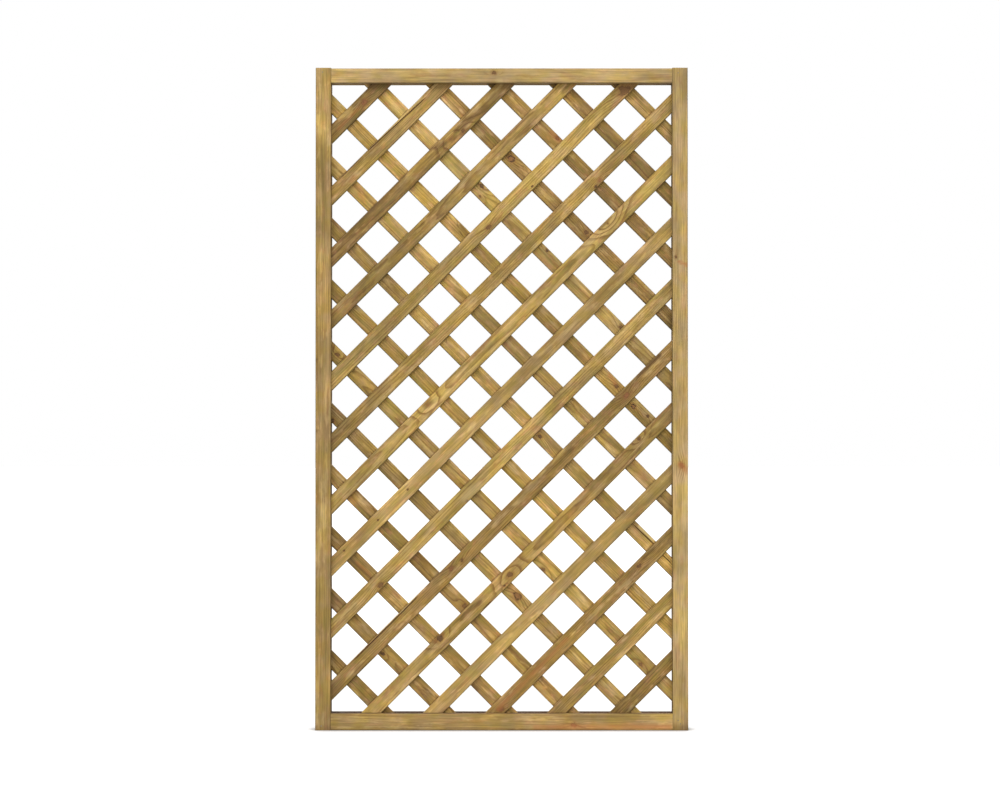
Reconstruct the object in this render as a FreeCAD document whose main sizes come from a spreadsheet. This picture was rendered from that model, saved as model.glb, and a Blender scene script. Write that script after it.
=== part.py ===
import FreeCAD, Part
import math
import os

import Sketcher
from FreeCAD import Placement, Rotation, Vector

os.makedirs("parts", exist_ok=True)

# Wooden trellis panel: four grooved bars frame two layers of diagonal slats.
# The front of the panel faces -Y, its height runs along +Z and its width along X.
# The origin is at the middle of the bottom bar's underside, half way through its depth.

# Driving sizes, in millimetres and degrees
SIZES = {
    "panel_width": 1000.0,
    "panel_height": 1778.0,
    "stile_face": 42.0,
    "top_rail_face": 39.5,
    "bottom_rail_face": 46.0,
    "bar_depth": 43.0,
    "bar_round": 1.5,
    "stile_horn": 1.5,
    "groove_depth": 12.0,
    "groove_slack": 0.5,
    "tenon_slack": 0.5,
    "tenon_end_gap": 2.0,
    "slat_width": 38.5,
    "slat_thickness": 9.0,
    "slat_round": 2.5,
    "slat_angle": 45.0,
    "slat_housing": 9.5,
    "slats_each_way": 15,
    "corner_drop": 139.0,
    "lattice_up": 2.0,
    "lattice_left": 1.0,
}

doc = FreeCAD.newDocument("TrellisPanel")
sheet = doc.addObject("Spreadsheet::Sheet", "Sizes")
for row, (alias, value) in enumerate(SIZES.items(), start=1):
    sheet.set(f"A{row}", alias.replace("_", " "))
    sheet.set(f"B{row}", str(value))
    sheet.setAlias(f"B{row}", alias)
doc.recompute()

# Sizes that follow from the driving ones
GROOVE_WIDTH = "(2 * Sizes.slat_thickness + Sizes.groove_slack)"
FIELD_WIDTH = "(Sizes.panel_width - 2 * Sizes.stile_face)"
RAIL_TOP_LEVEL = "(Sizes.panel_height - Sizes.stile_horn)"
FIELD_HEIGHT = f"({RAIL_TOP_LEVEL} - Sizes.top_rail_face - Sizes.bottom_rail_face)"
FIELD_MIDDLE = f"(Sizes.bottom_rail_face + {FIELD_HEIGHT} / 2)"
HOUSED_WIDTH = f"({FIELD_WIDTH} + 2 * Sizes.slat_housing)"
HOUSED_HEIGHT = f"({FIELD_HEIGHT} + 2 * Sizes.slat_housing)"
TENON_THICKNESS = f"({GROOVE_WIDTH} - Sizes.tenon_slack)"
TENON_LENGTH = "(Sizes.groove_depth - Sizes.tenon_end_gap)"
CORNER_RISE = f"(({FIELD_HEIGHT} + {FIELD_WIDTH} * tan(Sizes.slat_angle)) / 2)"
OUTER_SLAT_RISE = f"({CORNER_RISE} - Sizes.corner_drop)"
SLAT_LENGTH = "(Sizes.panel_width / cos(Sizes.slat_angle))"


def origin_plane(body, role):
    """The plane of the body's own origin that has the given role."""
    return next(item for item in body.Origin.OriginFeatures if item.Role == role)


def new_body(label, along, across, up):
    """A body named for its piece, placed by an expression for each axis, or None for 0."""
    body = doc.addObject("PartDesign::Body", label)
    body.Label = label
    for axis, expression in zip("xyz", (along, across, up)):
        if expression is not None:
            body.setExpression(f"Placement.Base.{axis}", expression)
    return body


def new_sketch(body, name, role):
    """An empty sketch on one of the body's origin planes."""
    sketch = body.newObject("Sketcher::SketchObject", name)
    sketch.AttachmentSupport = [(origin_plane(body, role), "")]
    sketch.MapMode = "FlatFace"
    return sketch


def bind(sketch, constraint, expression):
    """Add a dimension to the sketch and let an expression drive it."""
    index = sketch.addConstraint(constraint)
    sketch.setExpression(f"Constraints[{index}]", expression)


def join_run(sketch, first, count):
    """Join the ends of a closed run of straight sides."""
    for step in range(count):
        follower = first + (step + 1) % count
        sketch.addConstraint(Sketcher.Constraint("Coincident", first + step, 2, follower, 1))


def rectangle(sketch, width, height, bottom=None):
    """A rectangle centred on the sketch's upright axis.

    It is also centred on the level axis, or starts at the height that bottom gives.
    """
    corners = (Vector(-5, -5, 0), Vector(5, -5, 0), Vector(5, 5, 0), Vector(-5, 5, 0))
    first = sketch.GeometryCount
    for corner, following in zip(corners, corners[1:] + corners[:1]):
        sketch.addGeometry(Part.LineSegment(corner, following), False)
    join_run(sketch, first, 4)
    sketch.addConstraint(Sketcher.Constraint("Horizontal", first + 2))
    for side in (first + 1, first + 3):
        sketch.addConstraint(Sketcher.Constraint("Vertical", side))
    bind(sketch, Sketcher.Constraint("DistanceX", first, 1, first, 2, 10.0), width)
    bind(sketch, Sketcher.Constraint("DistanceY", first + 1, 1, first + 1, 2, 10.0), height)
    if bottom is None:
        sketch.addConstraint(Sketcher.Constraint("Horizontal", first))
        sketch.addConstraint(Sketcher.Constraint("Symmetric", first, 1, first + 1, 2, -1, 1))
    else:
        sketch.addConstraint(Sketcher.Constraint("Symmetric", first, 1, first, 2, -2))
        bind(sketch, Sketcher.Constraint("DistanceY", -1, 1, first, 1, -5.0), bottom)


def rounded_rectangle(sketch, width, height, radius):
    """A rectangle with quarter-round corners, centred on the sketch's origin."""
    reach, turn = 10.0, 2.0
    inner = reach - turn
    ends = (
        (Vector(-inner, -reach, 0), Vector(inner, -reach, 0)),
        (Vector(reach, -inner, 0), Vector(reach, inner, 0)),
        (Vector(inner, reach, 0), Vector(-inner, reach, 0)),
        (Vector(-reach, inner, 0), Vector(-reach, -inner, 0)),
    )
    centres = (
        Vector(inner, -inner, 0),
        Vector(inner, inner, 0),
        Vector(-inner, inner, 0),
        Vector(-inner, -inner, 0),
    )
    upright = Vector(0, 0, 1)
    for quarter in range(4):
        sketch.addGeometry(Part.LineSegment(*ends[quarter]), False)
        circle = Part.Circle(centres[quarter], upright, turn)
        start = (quarter - 1) * math.pi / 2
        sketch.addGeometry(Part.ArcOfCircle(circle, start, start + math.pi / 2), False)
    for quarter in range(4):
        side, arc = 2 * quarter, 2 * quarter + 1
        sketch.addConstraint(Sketcher.Constraint("Tangent", side, 2, arc, 1))
        sketch.addConstraint(Sketcher.Constraint("Tangent", arc, 2, (side + 2) % 8, 1))
    for quarter in range(1, 4):
        sketch.addConstraint(Sketcher.Constraint("Equal", 1, 2 * quarter + 1))
    for side in (0, 4):
        sketch.addConstraint(Sketcher.Constraint("Horizontal", side))
    for side in (2, 6):
        sketch.addConstraint(Sketcher.Constraint("Vertical", side))
    sketch.addConstraint(Sketcher.Constraint("Symmetric", 0, 1, 4, 1, -1, 1))
    bind(sketch, Sketcher.Constraint("Radius", 1, turn), radius)
    bind(sketch, Sketcher.Constraint("DistanceX", 6, 1, 2, 2, 2 * reach), width)
    bind(sketch, Sketcher.Constraint("DistanceY", 0, 1, 4, 2, 2 * reach), height)


def pad(body, name, sketch, length, both_ways):
    """Run a profile out to a length, one way or half of it each way."""
    feature = body.newObject("PartDesign::Pad", name)
    feature.Profile = sketch
    feature.SideType = "Symmetric" if both_ways else "One side"
    feature.setExpression("Length", length)
    sketch.Visibility = False
    doc.recompute()
    return feature


def cut_through(body, name, sketch):
    """Cut a profile right through the body, and make sure that wood was taken away."""
    before = body.Shape.Volume
    feature = body.newObject("PartDesign::Pocket", name)
    feature.Profile = sketch
    feature.Type = "ThroughAll"
    feature.SideType = "Symmetric"
    sketch.Visibility = False
    doc.recompute()
    if body.Shape.Volume >= before:
        raise ValueError(f"{body.Label}: {name} cuts nothing")
    return feature


# Stiles: full-height bars, rounded along their arrises and grooved on the inner side
def stile(label, side):
    """One upright bar, whose groove faces the field; side is -1 at the left, 1 at the right."""
    centre = f"{side} * (Sizes.panel_width - Sizes.stile_face) / 2"
    body = new_body(label, centre, None, None)
    section = new_sketch(body, f"{label}_section", "XY_Plane")
    rounded_rectangle(section, "Sizes.stile_face", "Sizes.bar_depth", "Sizes.bar_round")
    pad(body, f"{label}_bar", section, "Sizes.panel_height", False)

    groove = new_sketch(body, f"{label}_groove_section", "XY_Plane")
    groove.AttachmentOffset = Placement(Vector(), Rotation(Vector(0, 0, 1), 90 * side))
    mouth = "Sizes.stile_face / 2 - Sizes.groove_depth"
    rectangle(groove, GROOVE_WIDTH, "Sizes.groove_depth * 2", mouth)
    cut_through(body, f"{label}_groove", groove)
    return body


# Rails: bars between the stiles, with a stub tenon at each end in the stiles' grooves
def rail(label, face, level, side):
    """One level bar; side is 1 where the groove faces up and -1 where it faces down."""
    body = new_body(label, None, None, level)
    section = new_sketch(body, f"{label}_section", "YZ_Plane")
    rounded_rectangle(section, "Sizes.bar_depth", face, "Sizes.bar_round")
    pad(body, f"{label}_bar", section, FIELD_WIDTH, True)

    groove = new_sketch(body, f"{label}_groove_section", "YZ_Plane")
    groove.AttachmentOffset = Placement(Vector(), Rotation(Vector(0, 0, 1), 90 - 90 * side))
    mouth = f"{face} / 2 - Sizes.groove_depth"
    rectangle(groove, GROOVE_WIDTH, "Sizes.groove_depth * 2", mouth)
    cut_through(body, f"{label}_groove", groove)

    tenon = new_sketch(body, f"{label}_tenon_section", "YZ_Plane")
    tenon.AttachmentOffset = Placement(Vector(), Rotation(Vector(0, 0, 1), 90 - 90 * side))
    rectangle(tenon, TENON_THICKNESS, f"{face} - Sizes.groove_depth", f"-{face} / 2")
    pad(body, f"{label}_tenons", tenon, f"{FIELD_WIDTH} + 2 * {TENON_LENGTH}", True)
    return body


# Slats: two layers that cross, face to face at the middle of the panel's depth.
# Where a slat crosses the panel's upright middle line sets it apart from the others: these
# crossings are evenly spaced, and the outermost lie corner_drop inside the field's corners.
def slat(label, place, lean, layer):
    """One diagonal slat, sawn off parallel to the bars inside their grooves.

    place runs from -1 for the lowest slat of a layer to 1 for the highest, lean is 1 for
    a slat that rises to the right and -1 for one that rises to the left, and layer is -1
    at the front and 1 at the back.
    """
    depth = f"{layer} * Sizes.slat_thickness / 2"
    body = new_body(label, None, depth, FIELD_MIDDLE)
    section = new_sketch(body, f"{label}_section", "YZ_Plane")
    section.AttachmentOffset = Placement(Vector(), Rotation(Vector(1, 0, 0), -lean * 45))
    middle = f"Sizes.lattice_up + {lean} * Sizes.lattice_left * tan(Sizes.slat_angle)"
    section.setExpression("AttachmentOffset.Base.y", f"{middle} + {place} * {OUTER_SLAT_RISE}")
    section.setExpression("AttachmentOffset.Rotation.Angle", f"-{lean} * Sizes.slat_angle")
    rounded_rectangle(section, "Sizes.slat_thickness", "Sizes.slat_width", "Sizes.slat_round")
    pad(body, f"{label}_lath", section, SLAT_LENGTH, True)

    ends = new_sketch(body, f"{label}_end_cuts", "XZ_Plane")
    rectangle(ends, "4 * Sizes.panel_width", "4 * Sizes.panel_height")
    rectangle(ends, HOUSED_WIDTH, HOUSED_HEIGHT)
    cut_through(body, f"{label}_sawn", ends)
    return body


pieces = [
    stile("left_stile", -1),
    stile("right_stile", 1),
    rail("top_rail", "Sizes.top_rail_face", f"{RAIL_TOP_LEVEL} - Sizes.top_rail_face / 2", -1),
    rail("bottom_rail", "Sizes.bottom_rail_face", "Sizes.bottom_rail_face / 2", 1),
]
count = int(sheet.slats_each_way)
for number in range(1, count + 1):
    place = (2 * number - count - 1) / (count - 1)
    pieces.append(slat(f"front_slat_{number:02d}", -place, 1, -1))
    pieces.append(slat(f"back_slat_{number:02d}", place, -1, 1))

# Every object is sound before anything is written
doc.recompute()
for item in doc.Objects:
    if {"Invalid", "Error"} & set(item.State):
        raise ValueError(f"{item.Label} is {item.State}")
    if item.isDerivedFrom("Sketcher::SketchObject") and not item.FullyConstrained:
        raise ValueError(f"{item.Label} leaves a size open")
for piece in pieces:
    if piece.Shape.isNull() or not piece.Shape.isValid() or len(piece.Shape.Solids) != 1:
        raise ValueError(f"{piece.Label} has no sound solid")
for piece in pieces:
    piece.Shape.exportStep(f"parts/{piece.Label}.step")
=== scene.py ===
"""Looks of a wooden trellis panel: four grooved bars round two layers of diagonal slats."""

from __future__ import annotations

import logging
import math
import random
from dataclasses import dataclass, field
from enum import Enum

import bmesh
import bpy
from mathutils import Matrix, Vector, noise

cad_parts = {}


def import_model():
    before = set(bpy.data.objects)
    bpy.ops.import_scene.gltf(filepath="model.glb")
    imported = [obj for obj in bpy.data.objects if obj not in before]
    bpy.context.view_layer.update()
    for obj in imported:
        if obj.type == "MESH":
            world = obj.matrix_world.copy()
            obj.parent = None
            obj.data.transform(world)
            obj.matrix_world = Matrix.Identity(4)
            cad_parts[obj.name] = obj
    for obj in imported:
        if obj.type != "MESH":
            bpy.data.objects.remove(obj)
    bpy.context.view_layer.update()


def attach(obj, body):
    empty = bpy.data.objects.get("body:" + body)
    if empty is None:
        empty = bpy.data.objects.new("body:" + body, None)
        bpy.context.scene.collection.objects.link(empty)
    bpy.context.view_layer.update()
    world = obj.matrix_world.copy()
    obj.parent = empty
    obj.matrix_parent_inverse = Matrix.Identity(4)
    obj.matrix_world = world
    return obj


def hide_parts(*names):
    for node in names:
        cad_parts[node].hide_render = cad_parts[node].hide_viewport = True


LOG = logging.getLogger("trellis")
SAME = 1e-5  # how near two places on a timber count as one, in metres
KNOT_LEAN = 1.25  # how much longer a knot is along the grain than across it
SWEEP_LEAN = 2.7  # the same for the stretch of grain that bends round it
Colour = tuple[int, int, int]
Point = tuple[float, float]
Socket = bpy.types.NodeSocket
Stock = dict["Tone", bpy.types.Material]


def linear(colour: Colour) -> tuple[float, float, float, float]:
    """Turns a colour as a screen shows it into the linear one that nodes take.

    Args:
        colour: Red, green and blue from 0 to 255.

    Returns:
        Red, green, blue and alpha from 0 to 1.
    """
    shares = [value / 255 for value in colour]
    curved = [s / 12.92 if s <= 0.04045 else ((s + 0.055) / 1.055) ** 2.4 for s in shares]
    return (curved[0], curved[1], curved[2], 1.0)


def ease(low: float, high: float, value: float) -> float:
    """Smooth step of value from 0 at low to 1 at high.

    Args:
        low: Where the step starts.
        high: Where the step ends.
        value: What is stepped.

    Returns:
        A share from 0 to 1.
    """
    share = min(1.0, max(0.0, (value - low) / (high - low)))
    return share * share * (3.0 - 2.0 * share)


class Tone(Enum):
    """How light and how warm one timber is."""

    PALE = "pale"
    SAND = "sand"
    LIGHT = "light"
    GOLD = "gold"
    HONEY = "honey"
    BROWN = "brown"
    DEEP = "deep"


class Cut(Enum):
    """How a timber was sawn, given as where the tree's heart lies from its middle, in metres."""

    FLAT = (0.004, -0.034)
    FLAT_OUT = (-0.006, 0.045)
    SLANT = (0.034, -0.026)
    SLANT_OUT = (-0.036, -0.024)
    QUARTER = (0.058, -0.006)
    QUARTER_OUT = (-0.062, 0.008)


class KnotKind(Enum):
    """A knot's look, as its darkness, its redness and how dark its rim is."""

    RED = (0.08, 0.9, 0.3)
    BROWN = (0.55, 0.4, 0.5)
    DARK = (0.95, 0.1, 0.75)
    RINGED = (0.1, 0.5, 1.0)
    SWIRL = (0.0, 0.1, 0.0)


class StainKind(Enum):
    """What colours a stretch of timber, as its index in the marks on the surface."""

    RED = 0
    DARK = 1
    PALE = 2


class Shade(Enum):
    """The colours that lie over a finish's own, as a screen shows them."""

    OLIVE = (140, 126, 58)
    PINK = (184, 128, 84)
    FAIR = (214, 186, 118)
    BROWN = (118, 86, 42)
    BENT_RING = (116, 78, 38)
    KNOT_HALO = (150, 104, 54)
    KNOT_SOUND = (142, 108, 60)
    KNOT_RED = (158, 102, 64)
    KNOT_DARK = (74, 52, 32)
    KNOT_SPECK = (72, 46, 26)
    KNOT_RIM = (62, 42, 25)
    RED_STAIN = (186, 116, 66)
    # Real dark stain, and also the colour of the painted shade laid on as dark stain.
    DARK_STAIN_AND_SHADE = (82, 54, 26)
    PALE_STAIN = (208, 184, 128)
    # Partly wear, partly painted shade on arrises that turn away from the light.
    ARRIS_WEAR_AND_SHADE = (92, 80, 46)
    SAWN_END = (128, 100, 58)
    DULL_ZINC = (98, 90, 78)


@dataclass(frozen=True)
class Knot:
    """A knot at a point of the panel's front, with the stretch of grain that bends round it."""

    x: float
    z: float
    radius: float
    sweep: float
    kind: KnotKind = KnotKind.BROWN


@dataclass(frozen=True)
class Seam:
    """A line on the front between two points of the panel, where the timber has split or has wane.

    Where wane is not 0, the timber falls away beyond the line, to its left for a wane above 0
    and to its right for one below, as seen along the line.
    """

    start: Point
    end: Point
    depth: float = 0.003
    wane: float = 0.0
    half_width: float = 0.0008


@dataclass(frozen=True)
class Stain:
    """A soft streak of colour between two points of the panel."""

    start: Point
    end: Point
    width: float
    strength: float
    kind: StainKind = StainKind.DARK


@dataclass(frozen=True)
class TimberLook:
    """What is told apart on one timber.

    The shade is how much lighter or darker it is than its tone at its left and its right end, or
    at its foot and its top where it is upright. The lip is how much painted shade darkens its groove and the
    inner side round it.
    """

    tone: Tone
    cut: Cut
    shade: tuple[float, float] = (0.0, 0.0)
    lip: float = 0.0
    knots: tuple[Knot, ...] = ()
    seams: tuple[Seam, ...] = ()
    stains: tuple[Stain, ...] = ()


class NodeDesk:
    """Adds and joins the nodes of one material or world."""

    def __init__(self, owner: bpy.types.Material | bpy.types.World) -> None:
        """Starts an empty tree.

        Args:
            owner: What the tree belongs to.
        """
        owner.use_nodes = True
        self.tree = owner.node_tree
        self.tree.nodes.clear()

    def add(self, kind: str, **settings: object) -> bpy.types.Node:
        """Adds one node.

        Args:
            kind: The node's type, without the ShaderNode that all start with.
            settings: Its own settings by name.

        Returns:
            The new node.
        """
        node = self.tree.nodes.new(f"ShaderNode{kind}")
        for name, value in settings.items():
            setattr(node, name, value)
        return node

    def feed(self, node: bpy.types.Node, values: dict[str | int, object]) -> None:
        """Joins outputs to a node's inputs, or writes plain values in them.

        Args:
            node: The node to feed.
            values: An output or a plain value for each input, by its name or number.
        """
        for key, value in values.items():
            if isinstance(value, Socket):
                self.tree.links.new(value, node.inputs[key])
            else:
                node.inputs[key].default_value = value

    def answer(self, node: bpy.types.Node, values: dict[str | int, object]) -> Socket:
        """Feeds a node and hands on its first output."""
        self.feed(node, values)
        return node.outputs[0]

    def attribute(self, name: str, output: str = "Vector") -> Socket:
        """Reads one of the mesh's attributes."""
        return self.add("Attribute", attribute_name=name).outputs[output]

    def parts(self, vector: Socket) -> list[Socket]:
        """Takes a vector apart into its three numbers."""
        x = self.answer(self.add("SeparateXYZ"), {0: vector})
        return list(x.node.outputs)

    def join(self, x: object, y: object, z: object) -> Socket:
        """Makes a vector of three numbers."""
        return self.answer(self.add("CombineXYZ"), {0: x, 1: y, 2: z})

    def maths(self, operation: str, *values: object) -> Socket:
        """Works out one number from others by a Math node's operation."""
        return self.answer(self.add("Math", operation=operation), dict(enumerate(values)))

    def times(self, first: object, second: object) -> Socket:
        """Multiplies two numbers."""
        return self.maths("MULTIPLY", first, second)

    def scaled(self, value: object, factor: object, more: object) -> Socket:
        """Multiplies a number by a factor and adds more to it."""
        return self.maths("MULTIPLY_ADD", value, factor, more)

    def rest(self, value: object) -> Socket:
        """What is left of 1 after a number."""
        return self.maths("SUBTRACT", 1.0, value)

    def far(self, first: object, second: object) -> Socket:
        """The length of the diagonal over two lengths at right angles."""
        return self.maths("SQRT", self.scaled(first, first, self.times(second, second)))

    def cloud(
        self, place: Socket, along: float, across: float, detail: float = 2.0, roughness: float = 0.5
    ) -> Socket:
        """Soft noise at a place, from about 0.2 to 0.8.

        Args:
            place: The place.
            along: How many clouds lie on a metre along the grain.
            across: How many lie on a metre across it.
            detail: How many finer layers the noise has.
            roughness: How strong those are.

        Returns:
            The output that carries the noise.
        """
        scale = self.add("VectorMath", operation="MULTIPLY")
        place = self.answer(scale, {0: place, 1: (along, across, across)})
        noisy = self.add("TexNoise", noise_dimensions="3D")
        values = {"Vector": place, "Scale": 1.0, "Detail": detail, "Roughness": roughness}
        return self.answer(noisy, values)

    def step(self, value: object, low: float, high: float) -> Socket:
        """Smooth step of a number from 0 at low to 1 at high."""
        node = self.add("MapRange", interpolation_type="SMOOTHSTEP")
        return self.answer(node, {"Value": value, "From Min": low, "From Max": high})

    def vary(self, noisy: Socket, span: float, low: float) -> Socket:
        """Spreads a noise's usual range over a span that starts at low."""
        return self.scaled(self.step(noisy, 0.3, 0.7), span, low)

    def blend(self, share: object, first: object, second: object, mode: str = "MIX") -> Socket:
        """Mixes two colours.

        Args:
            share: How much of the second one shows, which the node holds between 0 and 1.
            first: A colour output or a linear colour.
            second: A colour output or a linear colour.
            mode: The way they mix.

        Returns:
            The output that carries the mixed colour.
        """
        node = self.add("Mix", data_type="RGBA", blend_type=mode)
        self.feed(node, {0: share, 6: first, 7: second})
        return node.outputs[2]

    def tint(self, colour: object, share: object, shade: Shade, amount: float = 1.0) -> Socket:
        """Lays a shade over a colour, by a share that is made more or less by an amount."""
        return self.blend(self.times(share, amount), colour, linear(shade.value))

    def dress(
        self, colour: Socket, rough: Socket, relief: Socket,
        bump: tuple[float, float], fixed: dict[str, float],
    ) -> None:
        """Gives the material its shader, with a fine relief.

        Args:
            colour: Its colour.
            rough: Its roughness.
            relief: The height of its relief.
            bump: How strongly the relief shows, and its height in metres.
            fixed: The shader's values that are the same all over, by the names of their sockets.
        """
        values = {"Height": relief, "Strength": bump[0], "Distance": bump[1]}
        normal = self.answer(self.add("Bump"), values)
        shader = self.add("BsdfPrincipled")
        self.feed(shader, {"Base Color": colour, "Roughness": rough, "Normal": normal, **fixed})
        self.finish(shader)

    def finish(self, shader: bpy.types.Node, kind: str = "OutputMaterial") -> None:
        """Joins the shader to the tree's output."""
        self.tree.links.new(shader.outputs[0], self.add(kind).inputs["Surface"])


class SoftwoodDesk(NodeDesk):
    """The nodes of one softwood, which share its place in the log, its rings and its fibres."""

    def __init__(self, material: bpy.types.Material, look: SoftwoodFinish) -> None:
        """Draws the rings and fibres.

        Args:
            material: The softwood's material.
            look: How much of each thing it shows.
        """
        super().__init__(material)
        self.look = look
        self.place = self.attribute("grain_place")
        self.sweep = self.knot_sweep()
        self.late = self.rings()
        self.fibre = self.cloud(self.place, 9.0, 620.0, 3.0, 0.6)

    def knot_sweep(self) -> Socket:
        """How strongly the grain bends round the nearest knot, in metres.

        Returns:
            The output that carries the bend.
        """
        along, across, reach = self.parts(self.attribute("knot_place"))
        far = self.far(self.maths("DIVIDE", along, SWEEP_LEAN), across)
        share = self.maths("DIVIDE", far, reach)
        bell = self.maths("EXPONENT", self.times(self.times(share, share), -1.0))
        return self.times(bell, reach)

    def rings(self) -> Socket:
        """Late wood of the year rings, as thin lines that darken slowly and end sharply.

        Returns:
            The output that is 0 in early wood and 1 in late wood.
        """
        _, across, deep = self.parts(self.place)
        slow = self.cloud(self.place, 2.2, 9.0, 1.0)
        quick = self.cloud(self.place, 16.0, 90.0)
        radius = self.far(across, deep)
        for bend, amount in ((slow, 0.022), (quick, 0.0022), (self.sweep, 0.62)):
            radius = self.scaled(bend, amount, radius)
        count = self.maths("DIVIDE", radius, self.look.ring_gap)
        uneven = self.cloud(self.join(count, 3.1, 1.7), 0.37, 1.0, 1.0)
        phase = self.maths("FRACT", self.scaled(uneven, 2.6, count))
        return self.times(self.step(phase, 0.45, 0.92), self.rest(self.step(phase, 0.93, 1.0)))

    def body(self) -> Socket:
        """The timber's colour, from its rings, fibres and the uneven green of the treatment.

        Returns:
            The output that carries the colour.
        """
        look, place = self.look, self.place
        bands = self.cloud(place, 5.0, 80.0, 3.0, 0.55)
        patch = self.cloud(place, 21.0, 58.0, 3.0, 0.6)
        drift = self.cloud(place, 4.0, 9.0, 3.0, 0.65)
        mottle = self.cloud(place, 52.0, 150.0, 2.0, 0.6)
        streak = self.cloud(place, 7.0, 230.0, 3.0, 0.6)
        warm = self.cloud(place, 30.0, 36.0, 1.0)
        straw = self.cloud(place, 24.0, 34.0, 1.0)
        both = self.maths("ADD", bands, patch)
        colour = self.blend(self.times(self.late, look.late_share), linear(look.early), linear(look.late))
        colour = self.tint(colour, self.step(bands, 0.5, 0.36), Shade.OLIVE, look.olive)
        colour = self.tint(colour, self.step(patch, 0.5, 0.64), Shade.PINK, look.pink)
        colour = self.tint(colour, self.step(both, 1.03, 1.22), Shade.FAIR, look.fair)
        colour = self.tint(colour, self.step(streak, 0.52, 0.72), Shade.BROWN, look.brown)
        level = self.times(self.vary(self.fibre, 0.42, 0.79), self.vary(drift, 0.54, 0.67))
        level = self.times(level, self.vary(mottle, look.mottle, 1.0 - look.mottle / 2))
        red = self.times(level, self.vary(warm, 0.06, 0.97))
        blue = self.times(level, self.vary(straw, 0.4, 0.79))
        return self.blend(1.0, colour, self.join(red, level, blue), "MULTIPLY")

    def knots(self, colour: Socket) -> Socket:
        """Lays the nearest knot over the timber, with the browned rings that bend round it.

        Args:
            colour: The timber's colour.

        Returns:
            The output that carries the colour.
        """
        along, across, _ = self.parts(self.attribute("knot_place"))
        radius, dark, red = self.parts(self.attribute("knot_look"))
        edge = self.attribute("knot_rim", "Fac")
        own = self.times(self.maths("SUBTRACT", self.parts(self.place)[0], along), 7.0)
        spot = self.join(self.maths("DIVIDE", along, radius), self.maths("DIVIDE", across, radius), own)
        lobes = self.cloud(spot, 0.8, 0.8, 2.0, 0.6)
        specks = self.cloud(spot, 2.1, 2.1, 2.0, 0.6)
        share = self.maths("DIVIDE", self.far(self.maths("DIVIDE", along, KNOT_LEAN), across), radius)
        share = self.scaled(self.maths("SUBTRACT", lobes, 0.5), 2.0, share)
        bent = self.times(self.step(self.sweep, 0.002, 0.010), self.late)
        colour = self.tint(colour, bent, Shade.BENT_RING, 0.5)
        colour = self.tint(colour, self.rest(self.step(share, 0.9, 2.6)), Shade.KNOT_HALO, 0.5)
        knot = self.blend(red, linear(Shade.KNOT_SOUND.value), linear(Shade.KNOT_RED.value))
        knot = self.tint(knot, dark, Shade.KNOT_DARK)
        knot = self.tint(knot, self.step(specks, 0.5, 0.66), Shade.KNOT_SPECK, 0.55)
        colour = self.blend(self.times(self.rest(self.step(share, 0.75, 1.1)), 0.8), colour, knot)
        rim = self.times(self.step(share, 0.55, 0.9), self.rest(self.step(share, 1.0, 1.35)))
        broken = self.times(self.step(specks, 0.32, 0.55), self.times(rim, edge))
        return self.tint(colour, broken, Shade.KNOT_RIM)

    def wear_and_shade(self, colour: Socket) -> Socket:
        """Adds stains, darker arrises and sawn ends. The dark stain also holds painted shade, and the
        arrises' darkening is partly painted shade.

        Args:
            colour: The timber's colour.

        Returns:
            The output that carries the colour.
        """
        red, dark, pale = self.parts(self.attribute("marks"))
        edge, end, shade = self.parts(self.attribute("wear_and_shade"))
        ragged = self.scaled(self.cloud(self.place, 22.0, 320.0, 3.0), 1.1, 0.35)
        for amount, stain in ((red, Shade.RED_STAIN), (pale, Shade.PALE_STAIN), (dark, Shade.DARK_STAIN_AND_SHADE)):
            colour = self.tint(colour, self.times(amount, ragged), stain)
        colour = self.tint(colour, self.times(edge, ragged), Shade.ARRIS_WEAR_AND_SHADE, 0.7)
        colour = self.tint(colour, end, Shade.SAWN_END, 0.45)
        level = self.maths("ADD", shade, 1.0)
        return self.blend(1.0, colour, self.join(level, level, level), "MULTIPLY")


@dataclass(frozen=True)
class SoftwoodFinish:
    """Planed, pressure-treated softwood, with its year rings, fibres, knots, stains, wear and painted shade.
    """

    early: Colour
    late: Colour
    ring_gap: float = 0.0042
    late_share: float = 0.7
    olive: float = 0.45
    pink: float = 0.5
    fair: float = 0.55
    brown: float = 0.42
    mottle: float = 0.2
    roughness: float = 0.7
    gloss: float = 0.32

    def material(self, name: str) -> bpy.types.Material:
        """Makes the finish's material.

        Args:
            name: The material's name.

        Returns:
            The new material.
        """
        material = bpy.data.materials.new(name)
        desk = SoftwoodDesk(material, self)
        colour = desk.wear_and_shade(desk.knots(desk.body()))
        rough = desk.scaled(desk.fibre, 0.16, self.roughness - 0.08)
        relief = desk.scaled(desk.late, 0.55, desk.fibre)
        desk.dress(colour, rough, relief, (0.35, 0.0006), {"Specular IOR Level": self.gloss})
        return material


@dataclass(frozen=True)
class SteelFinish:
    """Dull zinc-coated steel of pins and staples."""

    colour: Colour = (132, 132, 126)
    roughness: float = 0.45
    metal: float = 0.8

    def material(self, name: str) -> bpy.types.Material:
        """Makes the finish's material.

        Args:
            name: The material's name.

        Returns:
            The new material.
        """
        material = bpy.data.materials.new(name)
        desk = NodeDesk(material)
        place = desk.add("TexCoord").outputs["Object"]
        spots = desk.cloud(place, 900.0, 900.0, 3.0, 0.6)
        colour = desk.tint(linear(self.colour), desk.step(spots, 0.4, 0.7), Shade.DULL_ZINC)
        rough = desk.scaled(spots, 0.3, self.roughness - 0.1)
        desk.dress(colour, rough, spots, (0.2, 0.0002), {"Metallic": self.metal})
        return material


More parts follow.
